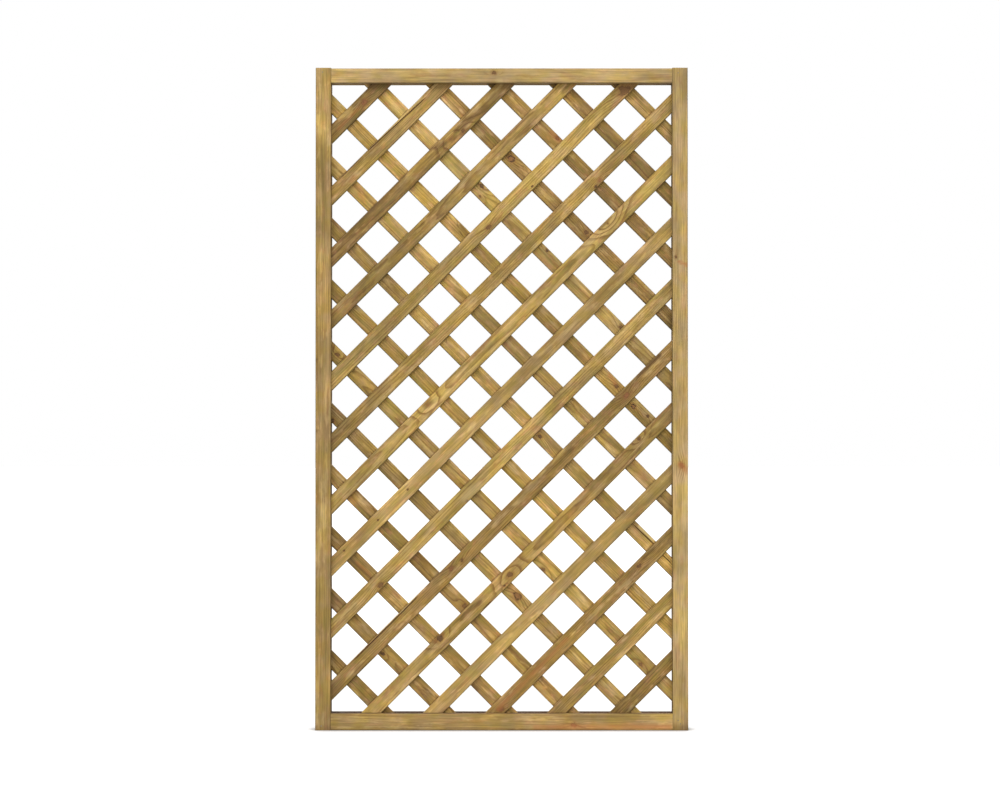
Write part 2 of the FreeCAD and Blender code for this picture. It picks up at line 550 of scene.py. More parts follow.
FINISHES: dict[Tone, SoftwoodFinish] = {
    Tone.PALE: SoftwoodFinish(
        (200, 170, 112), (160, 124, 70), late_share=0.35, pink=0.3, olive=0.2, brown=0.15, mottle=0.08
    ),
    Tone.SAND: SoftwoodFinish(
        (180, 149, 90), (134, 100, 52), late_share=0.35, pink=0.35, olive=0.35, brown=0.2, mottle=0.08
    ),
    Tone.LIGHT: SoftwoodFinish((194, 163, 94), (140, 104, 50)),
    Tone.GOLD: SoftwoodFinish((190, 156, 82), (136, 98, 42)),
    Tone.HONEY: SoftwoodFinish((182, 150, 84), (128, 92, 44)),
    Tone.BROWN: SoftwoodFinish((172, 138, 76), (116, 82, 40)),
    Tone.DEEP: SoftwoodFinish((160, 128, 68), (106, 74, 34)),
}


@dataclass
class Timber:
    """One straight planed timber, built along its own first axis and then put in its place.

    Its own axes are along its length, across its face and out of the panel's front.
    """

    name: str
    slot: str
    look: TimberLook
    length: float
    width: float
    depth: float
    arris: float
    place: Matrix
    seed: int
    ring_step: float = 0.006
    face_lines: int = 7
    groove_side: int = 0
    groove_width: float = 0.0
    groove_depth: float = 0.0
    crossings: tuple[float, ...] = ()
    # Painted shade: a dark line above each crossing slat, and the top rail's shadow on the slats below the
    # eave.
    crossing_shade: float = 0.55
    crossing_shade_reach: float = 0.004
    eave: float = 9.0
    rail_shadow: float = 0.38
    rail_shadow_reach: float = 0.038
    soak: float = 0.03
    grain_lean: tuple[float, float] = (0.012, 0.022)
    upper_arris_shade_share: float = 0.4
    least_hollow: float = 0.004
    side_waver: float = 0.0004
    face_waver: float = 0.00025
    bm: bmesh.types.BMesh = field(init=False)

    def __post_init__(self) -> None:
        """Makes the timber's section, grooved where it has a groove, and runs it to its length."""
        self.bm = bmesh.new()
        self.draw_section()
        self.run_out()

    def cut(self, point: tuple | Vector, normal: tuple | Vector, faces: list | None = None) -> None:
        """Cuts new edges where a plane meets the mesh.

        Args:
            point: A point of the plane.
            normal: The direction that the plane faces.
            faces: The only faces that are cut, where it isn't all.
        """
        faces = self.bm.faces[:] if faces is None else faces
        geom = [*{v for f in faces for v in f.verts}, *{e for f in faces for e in f.edges}, *faces]
        bmesh.ops.bisect_plane(self.bm, geom=geom, dist=SAME / 10, plane_co=point, plane_no=normal)

    def local(self, point: Point) -> Vector:
        """A point of the panel's front in the timber's own axes."""
        return self.place.inverted() @ Vector((point[0], 0.0, point[1]))

    def draw_section(self) -> None:
        """Draws the section in the plane across the timber, with rounded arrises."""
        bm = self.bm
        bmesh.ops.create_grid(bm, x_segments=1, y_segments=1, size=0.5)
        upright = Matrix(((0, 0, 1, 0), (self.width, 0, 0, 0), (0, self.depth, 0, 0), (0, 0, 0, 1)))
        bmesh.ops.transform(bm, matrix=upright, verts=bm.verts)
        bmesh.ops.bevel(
            bm, geom=bm.verts[:], offset=self.arris, offset_type="OFFSET", segments=3,
            profile=0.5, affect="VERTICES", material=-1,
        )
        flat = self.width - 2 * self.arris
        for step in range(1, self.face_lines + 1):
            level = flat * (step / (self.face_lines + 1) - 0.5)
            self.cut((0, level, 0), (0, 1, 0))
        if self.groove_side:
            self.cut((0, self.groove_side * self.groove_floor(), 0), (0, 1, 0))
            for side in (-1, 1):
                self.cut((0, 0, side * self.groove_width / 2), (0, 0, 1))
            cells = [f for f in bm.faces if self.in_groove(f.calc_center_median())]
            bmesh.ops.delete(bm, geom=cells, context="FACES")

    def groove_floor(self) -> float:
        """How far the groove's bottom lies from the timber's middle."""
        return self.width / 2 - self.groove_depth

    def in_groove(self, point: Vector) -> bool:
        """Whether a point lies in the groove's section."""
        return self.groove_side * point.y > self.groove_floor() and abs(point.z) < self.groove_width / 2

    def run_out(self) -> None:
        """Extrudes the section to the timber's length, centred, and divides it along."""
        bm = self.bm
        bmesh.ops.translate(bm, vec=(-self.length / 2, 0, 0), verts=bm.verts)
        grown = bmesh.ops.extrude_face_region(bm, geom=bm.faces[:])
        ends = [g for g in grown["geom"] if isinstance(g, bmesh.types.BMVert)]
        bmesh.ops.translate(bm, vec=(self.length, 0, 0), verts=ends)
        bmesh.ops.recalc_face_normals(bm, faces=bm.faces)
        long = [e for e in bm.edges if abs(e.verts[0].co.x - e.verts[1].co.x) > self.length / 2]
        cuts = max(1, round(self.length / self.ring_step))
        bmesh.ops.subdivide_edges(bm, edges=long, cuts=cuts, use_grid_fill=True)

    def add_tenons(self, thickness: float, length: float) -> None:
        """Draws a stub tenon out of each end, below the groove.

        Args:
            thickness: The tenon's thickness.
            length: How far it stands out.
        """
        for end in (-1, 1):
            for side in (-1, 1):
                cap = [f for f in self.bm.faces if end * f.calc_center_median().x > self.length / 2 - SAME]
                self.cut((0, 0, side * thickness / 2), (0, 0, 1), cap)
            middle = []
            for face in self.bm.faces:
                point = face.calc_center_median()
                between = abs(point.z) < thickness / 2 and self.groove_side * point.y < self.groove_floor()
                if between and end * point.x > self.length / 2 - SAME:
                    middle.append(face)
            grown = bmesh.ops.extrude_face_region(self.bm, geom=middle)
            moved = [g for g in grown["geom"] if isinstance(g, bmesh.types.BMVert)]
            bmesh.ops.translate(self.bm, vec=(end * length, 0, 0), verts=moved)

    def trim(self, box_low: Vector, box_high: Vector) -> None:
        """Cuts the timber's ends off flush with an upright rectangle of the panel.

        Args:
            box_low: The rectangle's lowest corner.
            box_high: The rectangle's highest corner.
        """
        inward = self.place.inverted()
        sides = (
            (Vector((box_low.x, 0, 0)), Vector((-1, 0, 0))),
            (Vector((box_high.x, 0, 0)), Vector((1, 0, 0))),
            (Vector((0, 0, box_low.z)), Vector((0, 0, -1))),
            (Vector((0, 0, box_high.z)), Vector((0, 0, 1))),
        )
        for point, normal in sides:
            cut = bmesh.ops.bisect_plane(
                self.bm, geom=self.bm.verts[:] + self.bm.edges[:] + self.bm.faces[:], dist=SAME / 10,
                clear_outer=True, plane_co=inward @ point, plane_no=inward.to_3x3() @ normal,
            )
            rim = [g for g in cut["geom_cut"] if isinstance(g, bmesh.types.BMEdge)]
            if rim:
                bmesh.ops.holes_fill(self.bm, edges=rim, sides=0)

    def ease_ends(self, amount: float) -> None:
        """Takes the sharpness off the sawn ends.

        Args:
            amount: The width of the little chamfer.
        """
        far = self.length / 2 - SAME
        rim = []
        for edge in self.bm.edges:
            on_end = all(abs(v.co.x) > far for v in edge.verts)
            turns = len(edge.link_faces) == 2 and edge.calc_face_angle(0.0) > 1.0
            if on_end and turns:
                rim.append(edge)
        bmesh.ops.bevel(
            self.bm, geom=rim, offset=amount, offset_type="OFFSET", segments=2,
            profile=0.5, affect="EDGES", material=-1, clamp_overlap=True,
        )

    def open_seams(self) -> None:
        """Cuts and opens the splits and the wane on the front, and marks their lines as dark."""
        marks = self.bm.verts.layers.float_vector.new("marks")
        past, taper, wane_reach, cut_past, cut_reach = 0.004, 0.02, 0.016, 0.006, 0.012
        for seam in self.look.seams:
            start, end = sorted((self.local(seam.start), self.local(seam.end)), key=lambda point: point.x)
            run, reach = (end - start).normalized(), (end - start).length
            side = Vector((-run.y, run.x, 0.0))
            for share in (-1.0, -0.5, 0.0, 0.5, 1.0):
                near = []
                for face in self.bm.faces:
                    middle = face.calc_center_median()
                    point = middle - start
                    if middle.z > self.depth / 2 - self.arris and abs(point.dot(side)) < cut_reach:
                        if -cut_past < point.dot(run) < reach + cut_past:
                            near.append(face)
                self.cut(start + side * share * seam.half_width, side, near)
            for vert in self.bm.verts:
                along, aside = (vert.co - start).dot(run), (vert.co - start).dot(side)
                if vert.co.z < 0.0 or not -past < along < reach + past:
                    continue
                fade = ease(-past, taper, along) * ease(reach + past, reach - taper, along)
                close = 1.0 - abs(aside) / seam.half_width
                if close > 0.0:
                    ragged = 0.7 + 0.3 * noise.noise(Vector((along * 90.0, self.seed, 0.0)))
                    vert.co.z -= seam.depth * fade * ragged * max(0.0, 2.0 * close - 1.0)
                    vert[marks] = (0.0, 1.25 * fade * min(1.0, 2.0 * close), 0.0)
                if seam.wane * aside > 0.0 and abs(aside) < wane_reach:
                    vert.co.z -= abs(seam.wane) * abs(aside) * fade

    def cut_crossings(self) -> None:
        """Cuts the front where painted shade lies above each slat that crosses this one."""
        cut_reach = 1.5 * self.ring_step
        for crossing in self.crossings:
            for above in (0.0, 0.0015, self.crossing_shade_reach):
                level = crossing + above
                middles = ((face, face.calc_center_median()) for face in self.bm.faces)
                near = [f for f, middle in middles if abs(middle.x - level) < cut_reach and middle.z > 0.0]
                self.cut((level, 0, 0), (1, 0, 0), near)

    def painted_shade_at(self, point: Vector) -> float:
        """How much painted shade darkens a point: contact shade above a crossing slat, and the top rail's
        shadow below it.

        Args:
            point: A point in the timber's own axes.

        Returns:
            The amount of painted shade, laid on as dark stain.
        """
        below = self.eave - (self.place @ point).z
        rail_shadow = self.rail_shadow * (1.0 - ease(0.004, self.rail_shadow_reach, below))
        past = [point.x - crossing for crossing in self.crossings]
        past = [far for far in past if -0.0005 < far < self.crossing_shade_reach and point.z >= 0.0]
        crossing_shade = self.crossing_shade * (1.0 - ease(0.0008, self.crossing_shade_reach, min(past))) if past else 0.0
        return crossing_shade + rail_shadow

    def sink_knots(self) -> None:
        """Refines the front round each open knot and hollows it a little."""
        for knot in self.look.knots:
            if knot.kind is KnotKind.SWIRL or knot.radius < self.least_hollow:
                continue
            middle = self.local((knot.x, knot.z))
            level = self.depth / 2 - 10 * SAME
            close = []
            for edge in self.bm.edges:
                flat = [(v.co.xy - middle.xy).length for v in edge.verts]
                if max(flat) < 1.9 * knot.radius + 0.004 and all(v.co.z > level for v in edge.verts):
                    close.append(edge)
            if close:
                bmesh.ops.subdivide_edges(self.bm, edges=close, cuts=3, use_grid_fill=True)
            sunk = 0.0004 + 0.0009 * knot.kind.value[0]
            for vert in self.bm.verts:
                if vert.co.z > level:
                    far = math.hypot((vert.co.x - middle.x) / KNOT_LEAN, vert.co.y - middle.y)
                    lip = math.exp(-(((far - knot.radius) / (0.22 * knot.radius)) ** 2))
                    bowl = 1.0 - ease(0.5 * knot.radius, 1.1 * knot.radius, far)
                    vert.co.z -= sunk * (0.8 * lip + 0.5 * bowl)

    def settle(self) -> None:
        """Lets the planed faces and arrises waver inward by a fraction of a millimetre."""
        half = self.width / 2 - self.arris
        for vert in self.bm.verts:
            along = vert.co.x * 4.0 + self.seed * 13.7
            if abs(vert.co.y) > half:
                pull = 0.5 + 0.5 * noise.noise(Vector((along, self.seed, math.copysign(5.0, vert.co.y))))
                vert.co.y -= math.copysign(self.side_waver * pull, vert.co.y)
            if self.groove_side or vert.co.z > 0.0:
                pull = 0.5 + 0.5 * noise.noise(Vector((along * 0.7, vert.co.y * 40.0, self.seed * 2.3)))
                if abs(vert.co.z) > self.depth / 2 - self.arris:
                    vert.co.z -= math.copysign(self.face_waver * pull, vert.co.z)

    def stain_at(self, point: Vector) -> Vector:
        """How much red, dark and pale stain there is at a point.

        Args:
            point: A point in the timber's own axes.

        Returns:
            The three amounts.
        """
        amounts = Vector((0.0, 0.0, 0.0))
        for stain in self.look.stains:
            start, end = self.local(stain.start), self.local(stain.end)
            line, offset = end.xy - start.xy, point.xy - start.xy
            share = min(1.0, max(0.0, offset.dot(line) / max(line.length_squared, 1e-9)))
            far = (offset - line * share).length
            amounts[stain.kind.value] += stain.strength * (1.0 - ease(0.2 * stain.width, stain.width, far))
        return amounts * (1.0 - ease(0.0, self.soak, self.depth / 2 - point.z))

    def nearest_knot(self, point: Vector) -> tuple[Vector, Vector, float]:
        """The knot that bends the grain most at a point.

        Args:
            point: A point in the timber's own axes.

        Returns:
            The knot's middle with its sweep, its radius, darkness and redness, and its rim.
        """
        tiny, nowhere = 0.001, 9.0
        best, place, look, rim = 3.0, Vector((nowhere, nowhere, tiny)), Vector((tiny, 0.0, 0.0)), 0.0
        for knot in self.look.knots:
            middle = self.local((knot.x, knot.z))
            reach = max(knot.sweep, knot.radius)
            far = math.hypot((point.x - middle.x) / SWEEP_LEAN, point.y - middle.y) / reach
            if far < best:
                best, place = far, Vector((middle.x, middle.y, knot.sweep))
                dark, red, rim = knot.kind.value
                look = Vector((knot.radius, dark, red))
        return place, look, rim

    def write_marks(self) -> None:
        """Writes where the surface lies in the log, and its knots, stains, wear and painted shade."""
        bm, dice = self.bm, random.Random(self.seed)
        sharp, round_share = 5e-4, 0.29
        bm.verts.layers.float_vector.new("grain_place")
        wear_and_shade = bm.verts.layers.float_vector.new("wear_and_shade")
        grain = bm.verts.layers.float_vector["grain_place"]
        marks = bm.verts.layers.float_vector["marks"]
        heart_y, heart_z = self.look.cut.value
        lean_y, lean_z = (dice.uniform(-most, most) for most in self.grain_lean)
        start = 10.0 * self.seed
        rise = self.place.col[1].z
        half_width, half_depth = self.width / 2, self.depth / 2
        low, high = min(v.co.x for v in bm.verts), max(v.co.x for v in bm.verts)
        for vert in bm.verts:
            along, across, out = vert.co
            vert[grain] = (start + along, across - heart_y - lean_y * along, out - heart_z - lean_z * along)
            stain = self.stain_at(vert.co) + vert[marks]
            # Painted shade above crossing slats and under the top rail is laid on as dark stain.
            stain[1] += self.painted_shade_at(vert.co)
            # Arris darkening: partly wear, partly painted shade. Upward-facing arrises keep only a share of
            # it, so the downward ones look shaded.
            corner_y = max(0.0, abs(across) - (half_width - self.arris))
            corner_z = max(0.0, abs(out) - (half_depth - self.arris))
            edge = min(1.0, min(corner_y, corner_z) / (round_share * self.arris))
            if rise * across > 0.0:
                edge *= self.upper_arris_shade_share
            # Painted shade: the groove and the bar's inner side are darkened by the look's lip.
            inward = self.groove_side * across
            inside = inward > self.groove_floor() - 10 * SAME and abs(out) < self.groove_width / 2 + 10 * SAME
            if self.groove_side and (inward > half_width - sharp or inside):
                stain[1] += self.look.lip
            end = 1.0 if min(along - low, high - along) < sharp else 0.0
            share = (along - low) / (high - low)
            share = 1.0 - share if self.place.col[0].x < 0 else share
            first, last = self.look.shade
            vert[wear_and_shade] = (edge, end, first + (last - first) * share)
            vert[marks] = stain
        place_layer = bm.loops.layers.float_vector.new("knot_place")
        look_layer = bm.loops.layers.float_vector.new("knot_look")
        rim_layer = bm.loops.layers.float.new("knot_rim")
        for face in bm.faces:
            place, look, rim = self.nearest_knot(face.calc_center_median())
            for loop in face.loops:
                loop[place_layer] = (*(loop.vert.co.xy - place.xy), place.z)
                loop[look_layer] = look
                loop[rim_layer] = rim

    def stand_up(self, material: bpy.types.Material) -> bpy.types.Object:
        """Marks the timber, puts its mesh in its place in the panel and makes it a piece.

        Args:
            material: What it is made of.

        Returns:
            The piece, which stands for the node of its name.
        """
        self.open_seams()
        self.cut_crossings()
        self.sink_knots()
        self.settle()
        self.write_marks()
        bm = self.bm
        bmesh.ops.transform(bm, matrix=self.place, verts=bm.verts)
        bmesh.ops.recalc_face_normals(bm, faces=bm.faces)
        return make_piece(bm, self.name, material, self.name)


def make_piece(
    bm: bmesh.types.BMesh, name: str, material: bpy.types.Material,
    node: str | None = None,
) -> bpy.types.Object:
    """Turns a finished mesh into a piece of the panel.

    Args:
        bm: The mesh, in its place. It is freed.
        name: The piece's name.
        material: What it is made of.
        node: The solid that it stands for.

    Returns:
        The new object.
    """
    for face in bm.faces:
        face.smooth = True
    mesh = bpy.data.meshes.new(name)
    bm.to_mesh(mesh)
    bm.free()
    mesh.set_sharp_from_angle(angle=math.radians(38))
    mesh.materials.append(material)
    piece = bpy.data.objects.new(name if node is None else f"{name}_timber", mesh)
    bpy.context.scene.collection.objects.link(piece)
    if node is not None:
        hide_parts(node)
    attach(piece, "root")
    LOG.info("%s: %d faces", piece.name, len(mesh.polygons))
    return piece


def axes(along: tuple, across: tuple, middle: tuple) -> Matrix:
    """The place of a timber that faces the front.

    Args:
        along: Its length's direction.
        across: Its face's direction.
        middle: Where its middle lies.

    Returns:
        The matrix from the timber's own axes to the panel's.
    """
    first, second = Vector(along).normalized(), Vector(across).normalized()
    third = first.cross(second)
    turn = Matrix((first, second, third)).transposed().to_4x4()
    return Matrix.Translation(Vector(middle)) @ turn


@dataclass
class BarFrame:
    """The two stiles and two rails round the lattice, each with a groove on its inner side."""

    width: float = 1.0
    height: float = 1.778
    stile_face: float = 0.042
    top_face: float = 0.0395
    bottom_face: float = 0.046
    depth: float = 0.043
    arris: float = 0.0015
    horn: float = 0.0015
    groove_width: float = 0.0185
    groove_depth: float = 0.012
    tenon_thickness: float = 0.018
    tenon_length: float = 0.010

    def stile(self, side: int, look: TimberLook) -> Timber:
        """One upright bar.

        Args:
            side: -1 at the left, 1 at the right.
            look: Its look.

        Returns:
            The timber, still to be stood up.
        """
        name = "left_stile" if side < 0 else "right_stile"
        middle = (side * (self.width - self.stile_face) / 2, 0.0, self.height / 2)
        timber = Timber(
            name, "frame_timber", look, self.height, self.stile_face, self.depth, self.arris,
            axes((0, 0, 1), (-1, 0, 0), middle), 40 + side, groove_side=side,
            groove_width=self.groove_width, groove_depth=self.groove_depth,
        )
        timber.ease_ends(0.0007)
        return timber

    def rail(self, name: str, face: float, level: float, side: int, look: TimberLook) -> Timber:
        """One level bar with its two tenons.

        Args:
            name: Its name.
            face: The height of its face.
            level: The height of its underside.
            side: 1 where the groove faces up, -1 where it faces down.
            look: Its look.

        Returns:
            The timber, still to be stood up.
        """
        timber = Timber(
            name, "frame_timber", look, self.width - 2 * self.stile_face, face, self.depth, self.arris,
            axes((1, 0, 0), (0, 0, 1), (0.0, 0.0, level + face / 2)), 50 + side, groove_side=side,
            groove_width=self.groove_width, groove_depth=self.groove_depth,
        )
        timber.add_tenons(self.tenon_thickness, self.tenon_length)
        return timber

    def build(self, stock: Stock, looks: dict[str, TimberLook]) -> None:
        """Builds and dresses the four bars.

        Args:
            stock: The material of each tone.
            looks: The look of each bar.
        """
        top_level = self.height - self.horn - self.top_face
        bars = (
            self.stile(-1, looks["left_stile"]),
            self.stile(1, looks["right_stile"]),
            self.rail("top_rail", self.top_face, top_level, -1, looks["top_rail"]),
            self.rail("bottom_rail", self.bottom_face, 0.0, 1, looks["bottom_rail"]),
        )
        for bar in bars:
            bar.stand_up(stock[bar.look.tone])


@dataclass
class Lattice:
    """Two layers of slats that cross face to face at the middle of the panel's depth."""

    slat_width: float = 0.0385
    slat_thickness: float = 0.009
    arris: float = 0.0025
    count: int = 15
    pitch: float = 0.166357
    middle_x: float = -0.001
    middle_z: float = 0.8935
    housed_low: Point = (-0.4675, 0.0365)
    housed_high: Point = (0.4675, 1.7465)
    stapled_x: float = 0.435
    stapled_z: tuple[float, float] = (0.07, 1.71)
    # The top rail's underside, below which its shadow is painted on the slats.
    eave: float = 1.737

    def reach(self) -> int:
        """How many slats of a layer lie on each side of its middle one."""
        return self.count // 2

    def slat(self, number: int, front: bool, look: TimberLook) -> Timber:
        """One slat, cut to the housing in the bars.

        Args:
            number: Its number from the left, from 1.
            front: Whether it is in the front layer.
            look: Its look.

        Returns:
            The timber, still to be stood up.
        """
        lean = 1 if front else -1
        from_middle = number - 1 - self.reach()
        level = self.middle_z - lean * from_middle * self.pitch - lean * self.middle_x
        ends = sorted((lean * (edge - level) for edge in (self.housed_low[1], self.housed_high[1])))
        start, end = max(ends[0], self.housed_low[0]), min(ends[1], self.housed_high[0])
        x = (start + end) / 2
        middle = (x, -lean * self.slat_thickness / 2, level + lean * x)
        length = (end - start) * math.sqrt(2) + 1.3 * self.slat_width
        along = (1, 0, 1) if front else (-1, 0, 1)
        across = (-1, 0, 1) if front else (-1, 0, -1)
        layer = "front" if front else "back"
        timber = Timber(
            f"{layer}_slat_{number:02d}", f"{layer}_slat_timber", look,
            length, self.slat_width, self.slat_thickness, self.arris,
            axes(along, across, middle), number + (0 if front else 20), eave=self.eave,
        )
        low = Vector((self.housed_low[0], 0, self.housed_low[1]))
        high = Vector((self.housed_high[0], 0, self.housed_high[1]))
        timber.trim(low, high)
        if not front:
            steps = range(-self.reach(), self.reach() + 1)
            places = (self.crossing(first, from_middle) for first in steps)
            timber.crossings = tuple(timber.local(place).x + self.slat_width / 2 for place in places)
        return timber

    def crossing(self, first: int, second: int) -> Point:
        """Where two slats cross, by how many steps each lies from the middle one of its layer."""
        x = self.middle_x + (second - first) * self.pitch / 2
        return x, self.middle_z + (first + second) * self.pitch / 2

    def crossings(self) -> list[Point]:
        """Where a front slat and a back slat cross inside the frame.

        Returns:
            The place of each crossing on the panel's front.
        """
        steps = range(-self.reach(), self.reach() + 1)
        places = (self.crossing(first, second) for first in steps for second in steps)
        low, high = self.stapled_z
        return [(x, z) for x, z in places if abs(x) < self.stapled_x and low < z < high]

    def build(self, stock: Stock, looks: tuple[TimberLook, ...], front: bool) -> None:
        """Builds and dresses the slats of one layer.

        Args:
            stock: The material of each tone.
            looks: The look of each slat, from the left.
            front: Whether it is the front layer.
        """
        for number, look in enumerate(looks, start=1):
            self.slat(number, front, look).stand_up(stock[look.tone])


@dataclass
class Fixings:
    """Pins through the bars' joints, and a staple at the back of each crossing."""

    pin_radius: float = 0.0019
    pin_height: float = 0.0008
    staple_length: float = 0.0105
    staple_wire: float = 0.0012
    staple_shift: float = 0.004
    staple_turn: float = 14.0
    pins: tuple[Point, ...] = (
        (-0.4813, 1.7663), (0.4741, 1.764), (-0.4834, 0.012), (0.4723, 0.0269), (0.4784, 0.0178),
    )

    def build_pins(self, material: bpy.types.Material, front: float) -> None:
        """Sets the pins' heads in the front of the stiles.

        Args:
            material: What they are made of.
            front: Where the stiles' front lies.
        """
        bm = bmesh.new()
        for x, z in self.pins:
            made = bmesh.ops.create_cone(
                bm, cap_ends=True, cap_tris=False, segments=14,
                radius1=self.pin_radius, radius2=self.pin_radius * 0.72, depth=self.pin_height,
            )
            turn = Matrix.Rotation(math.radians(90), 4, "X")
            bmesh.ops.transform(
                bm, matrix=Matrix.Translation((x, front + 0.00045, z)) @ turn, verts=made["verts"]
            )
        bmesh.ops.recalc_face_normals(bm, faces=bm.faces)
        make_piece(bm, "joint_pins", material)

    def build_staples(self, material: bpy.types.Material, back: float, places: list[Point]) -> None:
        """Drives a staple into the back of each crossing.

        Args:
            material: What they are made of.
            back: Where the back slats' back face lies.
            places: The crossings.
        """
        bm, dice = bmesh.new(), random.Random(7)
        for x, z in places:
            made = bmesh.ops.create_cube(bm, size=1.0)
            size = Matrix.Diagonal((self.staple_length, self.staple_wire, self.staple_wire, 1.0))
            turn = dice.uniform(-self.staple_turn, self.staple_turn)
            aside, up = (dice.uniform(-self.staple_shift, self.staple_shift) for _ in range(2))
            spot = Matrix.Translation((x + aside, back + 0.0001, z + up))
            lean = Matrix.Rotation(math.radians(45 + turn), 4, "Y")
            bmesh.ops.transform(bm, matrix=spot @ lean @ size, verts=made["verts"])
        bmesh.ops.bevel(
            bm, geom=bm.edges[:], offset=0.00035, offset_type="OFFSET", segments=2,
            profile=0.5, affect="EDGES", material=-1,
        )
        bmesh.ops.recalc_face_normals(bm, faces=bm.faces)
        make_piece(bm, "crossing_staples", material)


@dataclass(frozen=True)
class Light:
    """One broad soft light, with how far it stands to the right of the front and above, in degrees."""

    name: str
    strength: float
    aside: float
    above: float
    softness: float

    def hang(self) -> None:
        """Hangs the light."""
        lamp = bpy.data.lights.new(self.name, "SUN")
        lamp.energy = self.strength
        lamp.angle = math.radians(self.softness)
        lamp.color = (1.0, 0.985, 0.96)
        holder = bpy.data.objects.new(self.name, lamp)
        aside, above = math.radians(self.aside), math.radians(self.above)
        level = math.cos(above)
        towards = Vector((math.sin(aside) * level, -math.cos(aside) * level, math.sin(above)))
        holder.rotation_euler = towards.to_track_quat("Z", "Y").to_euler()
        bpy.context.scene.collection.objects.link(holder)


@dataclass
class Studio:
    """Plain white floor, soft light and the camera at the photograph's angle."""

    camera_place: tuple[float, float, float] = (0.0032, -5.4128, 0.8298)
    camera_pitch: float = 90.587
    camera_yaw: float = 0.0822
    lens: float = 72.365
    sky: float = 0.158
    lights: tuple[Light, ...] = (
        Light("left_light", 1.2, -33.0, 51.0, 30.0),
        Light("right_light", 1.25, 33.0, 51.0, 30.0),
        Light("front_light", 0.84, 1.0, 8.0, 50.0),
        Light("back_light", 1.1, 180.0, 26.0, 50.0),
    )
    floor_glow: float = 0.78
    floor_shade: float = 0.54
    floor_reach: float = 30.0
    contact: float = 0.045
    contact_power: float = 2.5

    def build(self) -> None:
        """Sets up the floor, the lights, the background and the camera."""
        self.lay_floor()
        for light in self.lights:
            light.hang()
        self.paint_background()
        self.stand_camera()

    def seen(self, desk: NodeDesk) -> Socket:
        """Tells what the camera sees, straight or by gloss, from light on the object.

        Args:
            desk: The tree that the nodes are added to.

        Returns:
            The output that is 1 for what is seen and 0 for light.
        """
        rays = desk.add("LightPath").outputs
        direct = desk.maths("MAXIMUM", rays["Is Camera Ray"], rays["Is Glossy Ray"])
        return desk.maths("MAXIMUM", direct, rays["Is Transmission Ray"])

    def lay_floor(self) -> None:
        """Lays a pale floor that shows as white, keeps the panel's shadow and has a painted contact shadow
        round its foot.
        """
        material = bpy.data.materials.new("studio_floor")
        desk = NodeDesk(material)
        grey = (self.floor_shade, self.floor_shade, self.floor_shade, 1.0)
        matt = desk.answer(desk.add("BsdfDiffuse"), {"Color": grey})
        # Painted contact shadow: the glow dims by ambient occlusion near what stands on the floor.
        near = desk.add("AmbientOcclusion", samples=8)
        desk.feed(near, {"Distance": self.contact})
        glow_left_by_contact_shadow = desk.maths("POWER", near.outputs["AO"], self.contact_power)
        lit = desk.times(desk.times(self.seen(desk), glow_left_by_contact_shadow), self.floor_glow)
        glow = desk.answer(desk.add("Emission"), {"Strength": lit})
        both = desk.add("AddShader")
        desk.feed(both, {0: matt, 1: glow})
        desk.finish(both)
        bm = bmesh.new()
        bmesh.ops.create_grid(bm, x_segments=1, y_segments=1, size=self.floor_reach)
        mesh = bpy.data.meshes.new("studio_floor")
        bm.to_mesh(mesh)
        bm.free()
        mesh.materials.append(material)
        floor = bpy.data.objects.new("studio_floor", mesh)
        bpy.context.scene.collection.objects.link(floor)

    def paint_background(self) -> None:
        """Makes the world a soft even light that shows as white."""
        world = bpy.data.worlds.new("studio_world")
        bpy.context.scene.world = world
        desk = NodeDesk(world)
        sky = desk.add("Background")
        level = desk.scaled(self.seen(desk), 1.0 - self.sky, self.sky)
        desk.feed(sky, {"Color": (1.0, 1.0, 1.0, 1.0), "Strength": level})
        desk.finish(sky, "OutputWorld")

    def stand_camera(self) -> None:
        """Stands the camera where the photograph was taken."""
        data = bpy.data.cameras.new("photo_camera")
        data.lens = self.lens
        data.sensor_width = 36.0
        data.clip_start, data.clip_end = 0.05, 200.0
        camera = bpy.data.objects.new("photo_camera", data)
        camera.location = self.camera_place
        camera.rotation_euler = (math.radians(self.camera_pitch), 0.0, math.radians(self.camera_yaw))
        bpy.context.scene.collection.objects.link(camera)
        bpy.context.scene.camera = camera
        bpy.context.scene.view_settings.view_transform = "Standard"


